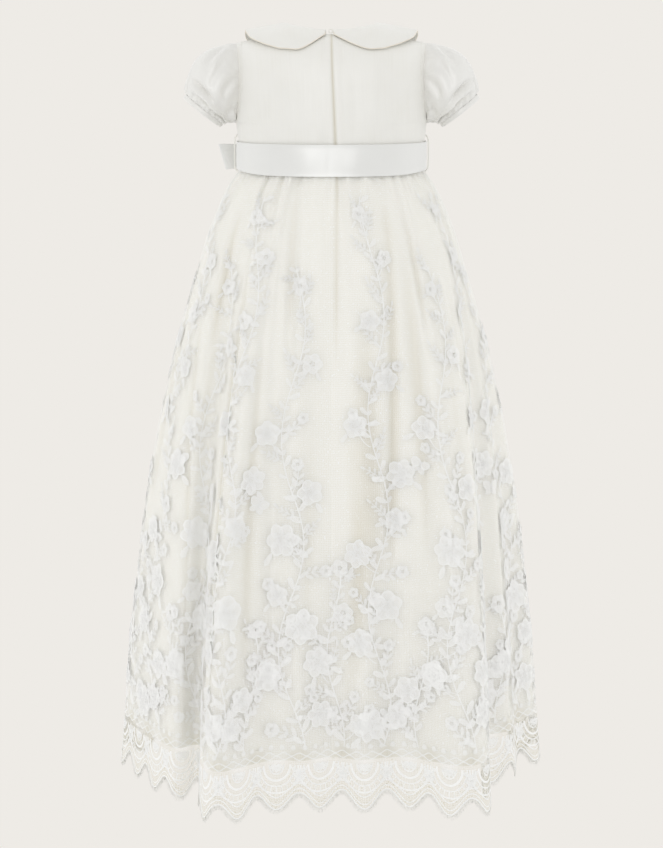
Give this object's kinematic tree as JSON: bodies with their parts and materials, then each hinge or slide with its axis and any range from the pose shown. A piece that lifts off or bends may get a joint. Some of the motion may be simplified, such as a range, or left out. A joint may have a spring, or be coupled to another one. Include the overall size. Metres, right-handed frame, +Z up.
{
  "type": "christening gown",
  "caption": "Ivory christening gown with a round collar, puff sleeves, a satin sash and bow, and a long gathered lace skirt over a lining, with a scalloped fringed hem.",
  "frame": {"origin": "on the shoulder line at the base of the neck, midway between the shoulders, where the wearer holds the gown up", "axes": "+Z up the gown; -Y out of its back, where the zip is; +X towards the right of someone who looks at its back"},
  "size_m": [0.4334, 0.3367, 0.7516],
  "materials": {
    "silk": "plain woven silk with a soft low sheen",
    "collar_silk": "double silk with a soft sheen",
    "sleeve_silk": "smooth silk with a satin sheen",
    "satin": "double-faced satin ribbon",
    "thread": "twisted thread",
    "lining": "smooth opaque lining",
    "lace": "fine floral net lace"
  },
  "bodies": {
    "root": {"bodice_front": "silk", "bodice_back_left": "silk", "bodice_back_right": "silk", "collar_left": "collar_silk", "collar_right": "collar_silk", "sleeve_left": "sleeve_silk", "sleeve_right": "sleeve_silk", "cuff_left": "sleeve_silk", "cuff_right": "sleeve_silk", "sash": "satin", "bow_knot": "satin", "bow_loop_left": "satin", "bow_loop_right": "satin", "bow_tail_left": "satin", "bow_tail_right": "satin", "belt_loop_left": "thread", "belt_loop_right": "thread", "neck_eye": "thread", "lining_front": "lining", "lining_back_left": "lining", "lining_back_right": "lining", "back_zip": "lining", "lace_front": "lace", "lace_back_left": "lace", "lace_back_right": "lace", "fringe_front": "lace", "fringe_back_left": "lace", "fringe_back_right": "lace"}
  },
  "joints": []
}
